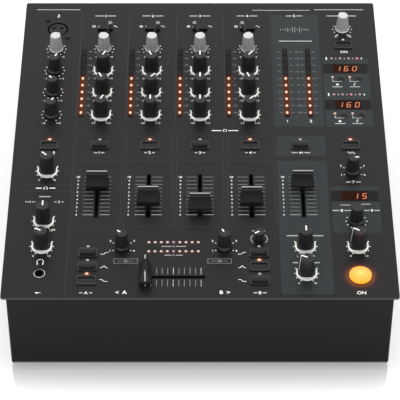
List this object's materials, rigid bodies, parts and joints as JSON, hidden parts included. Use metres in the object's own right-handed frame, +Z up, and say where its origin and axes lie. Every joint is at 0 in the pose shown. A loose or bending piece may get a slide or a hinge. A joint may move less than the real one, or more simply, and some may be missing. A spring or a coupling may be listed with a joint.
{
  "type": "dj mixer",
  "caption": "Table-top mixer with rotary knobs, channel faders, a crossfader, latching buttons, lit meters, sockets and an effect section.",
  "frame": {"origin": "on the table, below the middle of the top panel", "axes": "+Z up, +Y to the rear with its sockets, +X to the effect section"},
  "size_m": [0.32, 0.37, 0.107],
  "materials": {
    "black_paint": "satin black, fine texture",
    "case_paint": "satin black",
    "black_rubber": "matt",
    "black_plastic": "matt",
    "lamp_plastic": "clear orange, lit",
    "window_plastic": "dark red, glossy",
    "gloss_black_plastic": "semi-gloss",
    "connector_metal": "bright nickel",
    "circuit_board": "green solder mask",
    "grey_plastic": "matt mid grey",
    "nickel": "brushed",
    "button_plastic": "matt dark grey",
    "orange_plastic": "translucent orange, lit"
  },
  "bodies": {
    "case": {"top_panel": "black_paint", "case_shell": "case_paint", "rear_panel": "case_paint", "feet": "black_rubber", "button_bezels": "black_plastic", "lamps": "lamp_plastic", "display_windows": "window_plastic", "panel_sockets": "gloss_black_plastic", "rear_sockets": "connector_metal", "control_board": "circuit_board", "power_supply": "circuit_board"},
    "mic_level_knob": {"mic_level_knob": "grey_plastic"},
    "mic_high_knob": {"mic_high_knob": "black_plastic"},
    "mic_mid_knob": {"mic_mid_knob": "black_plastic"},
    "mic_low_knob": {"mic_low_knob": "black_plastic"},
    "ch1_gain_knob": {"ch1_gain_knob": "grey_plastic"},
    "ch1_high_knob": {"ch1_high_knob": "black_plastic"},
    "ch1_mid_knob": {"ch1_mid_knob": "black_plastic"},
    "ch1_low_knob": {"ch1_low_knob": "black_plastic"},
    "ch2_gain_knob": {"ch2_gain_knob": "grey_plastic"},
    "ch2_high_knob": {"ch2_high_knob": "black_plastic"},
    "ch2_mid_knob": {"ch2_mid_knob": "black_plastic"},
    "ch2_low_knob": {"ch2_low_knob": "black_plastic"},
    "ch3_gain_knob": {"ch3_gain_knob": "grey_plastic"},
    "ch3_high_knob": {"ch3_high_knob": "black_plastic"},
    "ch3_mid_knob": {"ch3_mid_knob": "black_plastic"},
    "ch3_low_knob": {"ch3_low_knob": "black_plastic"},
    "ch4_gain_knob": {"ch4_gain_knob": "grey_plastic"},
    "ch4_high_knob": {"ch4_high_knob": "black_plastic"},
    "ch4_mid_knob": {"ch4_mid_knob": "black_plastic"},
    "ch4_low_knob": {"ch4_low_knob": "black_plastic"},
    "talkover_level_knob": {"talkover_level_knob": "black_plastic"},
    "headphone_mix_knob": {"headphone_mix_knob": "black_plastic"},
    "headphone_level_knob": {"headphone_level_knob": "black_plastic"},
    "surround_knob": {"surround_knob": "grey_plastic"},
    "effect_source_knob": {"effect_source_knob": "black_plastic"},
    "effect_select_knob": {"effect_select_knob": "black_plastic"},
    "effect_depth_knob": {"effect_depth_knob": "black_plastic"},
    "master_balance_knob": {"master_balance_knob": "black_plastic"},
    "booth_level_knob": {"booth_level_knob": "black_plastic"},
    "assign_a_knob": {"assign_a_knob": "black_plastic"},
    "assign_b_knob": {"assign_b_knob": "black_plastic"},
    "crossfade_curve_knob": {"crossfade_curve_knob": "black_plastic"},
    "ch1_input_toggle": {"ch1_input_toggle": "nickel"},
    "ch2_input_toggle": {"ch2_input_toggle": "nickel"},
    "ch3_input_toggle": {"ch3_input_toggle": "nickel"},
    "ch4_input_toggle": {"ch4_input_toggle": "nickel"},
    "ch1_fader": {"ch1_fader": "black_plastic"},
    "ch2_fader": {"ch2_fader": "black_plastic"},
    "ch3_fader": {"ch3_fader": "black_plastic"},
    "ch4_fader": {"ch4_fader": "black_plastic"},
    "master_fader": {"master_fader": "black_plastic"},
    "crossfader": {"crossfader": "black_plastic"},
    "cue_buttons_released": {"cue_buttons_released": "button_plastic"},
    "cue_buttons_latched": {"cue_buttons_latched": "button_plastic"},
    "kill_buttons_released": {"kill_buttons_released": "button_plastic"},
    "kill_buttons_latched": {"kill_buttons_latched": "button_plastic"},
    "tempo_buttons": {"tempo_buttons": "button_plastic"},
    "effect_on_button": {"effect_on_button": "orange_plastic"},
    "power_rocker": {"power_rocker": "gloss_black_plastic"}
  },
  "joints": [
    {"name": "mic_level_turn", "type": "hinge", "parent": "case", "child": "mic_level_knob", "pos_m": [-0.1296, 0.1198, 0.086], "axis": [0, 0, 1], "range_deg": [-115, 185]},
    {"name": "mic_high_turn", "type": "hinge", "parent": "case", "child": "mic_high_knob", "pos_m": [-0.1296, 0.0906, 0.086], "axis": [0, 0, 1], "range_deg": [-115, 185]},
    {"name": "mic_mid_turn", "type": "hinge", "parent": "case", "child": "mic_mid_knob", "pos_m": [-0.1296, 0.0614, 0.086], "axis": [0, 0, 1], "range_deg": [-187, 113]},
    {"name": "mic_low_turn", "type": "hinge", "parent": "case", "child": "mic_low_knob", "pos_m": [-0.1296, 0.0322, 0.086], "axis": [0, 0, 1], "range_deg": [-120, 180]},
    {"name": "ch1_gain_turn", "type": "hinge", "parent": "case", "child": "ch1_gain_knob", "pos_m": [-0.0864, 0.1198, 0.086], "axis": [0, 0, 1], "range_deg": [-177, 123]},
    {"name": "ch1_high_turn", "type": "hinge", "parent": "case", "child": "ch1_high_knob", "pos_m": [-0.0864, 0.0906, 0.086], "axis": [0, 0, 1], "range_deg": [-123, 177]},
    {"name": "ch1_mid_turn", "type": "hinge", "parent": "case", "child": "ch1_mid_knob", "pos_m": [-0.0864, 0.0614, 0.086], "axis": [0, 0, 1], "range_deg": [-175, 125]},
    {"name": "ch1_low_turn", "type": "hinge", "parent": "case", "child": "ch1_low_knob", "pos_m": [-0.0864, 0.0322, 0.086], "axis": [0, 0, 1], "range_deg": [-125, 175]},
    {"name": "ch2_gain_turn", "type": "hinge", "parent": "case", "child": "ch2_gain_knob", "pos_m": [-0.0432, 0.1198, 0.086], "axis": [0, 0, 1], "range_deg": [-175, 125]},
    {"name": "ch2_high_turn", "type": "hinge", "parent": "case", "child": "ch2_high_knob", "pos_m": [-0.0432, 0.0906, 0.086], "axis": [0, 0, 1], "range_deg": [-172, 128]},
    {"name": "ch2_mid_turn", "type": "hinge", "parent": "case", "child": "ch2_mid_knob", "pos_m": [-0.0432, 0.0614, 0.086], "axis": [0, 0, 1], "range_deg": [-108, 192]},
    {"name": "ch2_low_turn", "type": "hinge", "parent": "case", "child": "ch2_low_knob", "pos_m": [-0.0432, 0.0322, 0.086], "axis": [0, 0, 1], "range_deg": [-150, 150]},
    {"name": "ch3_gain_turn", "type": "hinge", "parent": "case", "child": "ch3_gain_knob", "pos_m": [0, 0.1198, 0.086], "axis": [0, 0, 1], "range_deg": [-130, 170]},
    {"name": "ch3_high_turn", "type": "hinge", "parent": "case", "child": "ch3_high_knob", "pos_m": [0, 0.0906, 0.086], "axis": [0, 0, 1], "range_deg": [-150, 150]},
    {"name": "ch3_mid_turn", "type": "hinge", "parent": "case", "child": "ch3_mid_knob", "pos_m": [0, 0.0614, 0.086], "axis": [0, 0, 1], "range_deg": [-150, 150]},
    {"name": "ch3_low_turn", "type": "hinge", "parent": "case", "child": "ch3_low_knob", "pos_m": [0, 0.0322, 0.086], "axis": [0, 0, 1], "range_deg": [-150, 150]},
    {"name": "ch4_gain_turn", "type": "hinge", "parent": "case", "child": "ch4_gain_knob", "pos_m": [0.0432, 0.1198, 0.086], "axis": [0, 0, 1], "range_deg": [-140, 160]},
    {"name": "ch4_high_turn", "type": "hinge", "parent": "case", "child": "ch4_high_knob", "pos_m": [0.0432, 0.0906, 0.086], "axis": [0, 0, 1], "range_deg": [-115, 185]},
    {"name": "ch4_mid_turn", "type": "hinge", "parent": "case", "child": "ch4_mid_knob", "pos_m": [0.0432, 0.0614, 0.086], "axis": [0, 0, 1], "range_deg": [-170, 130]},
    {"name": "ch4_low_turn", "type": "hinge", "parent": "case", "child": "ch4_low_knob", "pos_m": [0.0432, 0.0322, 0.086], "axis": [0, 0, 1], "range_deg": [-105, 195]},
    {"name": "talkover_level_turn", "type": "hinge", "parent": "case", "child": "talkover_level_knob", "pos_m": [-0.1296, -0.0388, 0.086], "axis": [0, 0, 1], "range_deg": [-192, 108]},
    {"name": "headphone_mix_turn", "type": "hinge", "parent": "case", "child": "headphone_mix_knob", "pos_m": [-0.1296, -0.0986, 0.086], "axis": [0, 0, 1], "range_deg": [-150, 150]},
    {"name": "headphone_level_turn", "type": "hinge", "parent": "case", "child": "headphone_level_knob", "pos_m": [-0.1296, -0.1277, 0.086], "axis": [0, 0, 1], "range_deg": [-210, 90]},
    {"name": "surround_turn", "type": "hinge", "parent": "case", "child": "surround_knob", "pos_m": [0.1296, 0.1476, 0.086], "axis": [0, 0, 1], "range_deg": [-180, 120]},
    {"name": "effect_source_turn", "type": "hinge", "parent": "case", "child": "effect_source_knob", "pos_m": [0.1296, -0.0388, 0.086], "axis": [0, 0, 1], "range_deg": [-50, 220]},
    {"name": "effect_select_turn", "type": "hinge", "parent": "case", "child": "effect_select_knob", "pos_m": [0.1296, -0.0986, 0.086], "axis": [0, 0, 1], "continuous": true},
    {"name": "effect_depth_turn", "type": "hinge", "parent": "case", "child": "effect_depth_knob", "pos_m": [0.1296, -0.1277, 0.086], "axis": [0, 0, 1], "range_deg": [-210, 90]},
    {"name": "master_balance_turn", "type": "hinge", "parent": "case", "child": "master_balance_knob", "pos_m": [0.0864, -0.1277, 0.086], "axis": [0, 0, 1], "range_deg": [-150, 150]},
    {"name": "booth_level_turn", "type": "hinge", "parent": "case", "child": "booth_level_knob", "pos_m": [0.0864, -0.158, 0.086], "axis": [0, 0, 1], "range_deg": [-215, 85]},
    {"name": "assign_a_turn", "type": "hinge", "parent": "case", "child": "assign_a_knob", "pos_m": [-0.0638, -0.128, 0.086], "axis": [0, 0, 1], "range_deg": [-187, 83]},
    {"name": "assign_b_turn", "type": "hinge", "parent": "case", "child": "assign_b_knob", "pos_m": [0.02, -0.128, 0.086], "axis": [0, 0, 1], "range_deg": [-160, 110]},
    {"name": "crossfade_curve_turn", "type": "hinge", "parent": "case", "child": "crossfade_curve_knob", "pos_m": [0.0486, -0.119, 0.086], "axis": [0, 0, 1], "range_deg": [-270, 30]},
    {"name": "ch1_input_flip", "type": "hinge", "parent": "case", "child": "ch1_input_toggle", "pos_m": [-0.0864, 0.146, 0.078], "axis": [0, 1, 0], "range_deg": [-30, 0]},
    {"name": "ch2_input_flip", "type": "hinge", "parent": "case", "child": "ch2_input_toggle", "pos_m": [-0.0432, 0.146, 0.078], "axis": [0, 1, 0], "range_deg": [-30, 0]},
    {"name": "ch3_input_flip", "type": "hinge", "parent": "case", "child": "ch3_input_toggle", "pos_m": [0, 0.146, 0.078], "axis": [0, 1, 0], "range_deg": [0, 30]},
    {"name": "ch4_input_flip", "type": "hinge", "parent": "case", "child": "ch4_input_toggle", "pos_m": [0.0432, 0.146, 0.078], "axis": [0, 1, 0], "range_deg": [0, 30]},
    {"name": "ch1_fader_slide", "type": "slide", "parent": "case", "child": "ch1_fader", "axis": [0, 1, 0], "range_m": [-0.0344, 0.0106]},
    {"name": "ch2_fader_slide", "type": "slide", "parent": "case", "child": "ch2_fader", "axis": [0, 1, 0], "range_m": [-0.016, 0.029]},
    {"name": "ch3_fader_slide", "type": "slide", "parent": "case", "child": "ch3_fader", "axis": [0, 1, 0], "range_m": [-0.008, 0.037]},
    {"name": "ch4_fader_slide", "type": "slide", "parent": "case", "child": "ch4_fader", "axis": [0, 1, 0], "range_m": [-0.0155, 0.0295]},
    {"name": "master_fader_slide", "type": "slide", "parent": "case", "child": "master_fader", "axis": [0, 1, 0], "range_m": [-0.035, 0.01]},
    {"name": "crossfader_slide", "type": "slide", "parent": "case", "child": "crossfader", "axis": [1, 0, 0], "range_m": [0, 0.045]},
    {"name": "cue_press", "type": "slide", "parent": "case", "child": "cue_buttons_released", "axis": [0, 0, 1], "range_m": [-0.003, 0], "stiffness_N_per_m": 300, "springref_m": 0.002},
    {"name": "kill_press", "type": "slide", "parent": "case", "child": "kill_buttons_released", "axis": [0, 0, 1], "range_m": [-0.003, 0], "stiffness_N_per_m": 300, "springref_m": 0.002},
    {"name": "cue_release", "type": "slide", "parent": "case", "child": "cue_buttons_latched", "axis": [0, 0, 1], "range_m": [0, 0.003]},
    {"name": "kill_release", "type": "slide", "parent": "case", "child": "kill_buttons_latched", "axis": [0, 0, 1], "range_m": [0, 0.003]},
    {"name": "tempo_press", "type": "slide", "parent": "case", "child": "tempo_buttons", "axis": [0, 0, 1], "range_m": [-0.0008, 0], "stiffness_N_per_m": 300, "springref_m": 0.002},
    {"name": "effect_on_press", "type": "slide", "parent": "case", "child": "effect_on_button", "axis": [0, 0, 1], "range_m": [-0.0015, 0], "stiffness_N_per_m": 300, "springref_m": 0.002},
    {"name": "power_rock", "type": "hinge", "parent": "case", "child": "power_rocker", "pos_m": [0.125, 0.174, 0.051], "axis": [1, 0, 0], "range_deg": [-16, 0]}
  ]
}
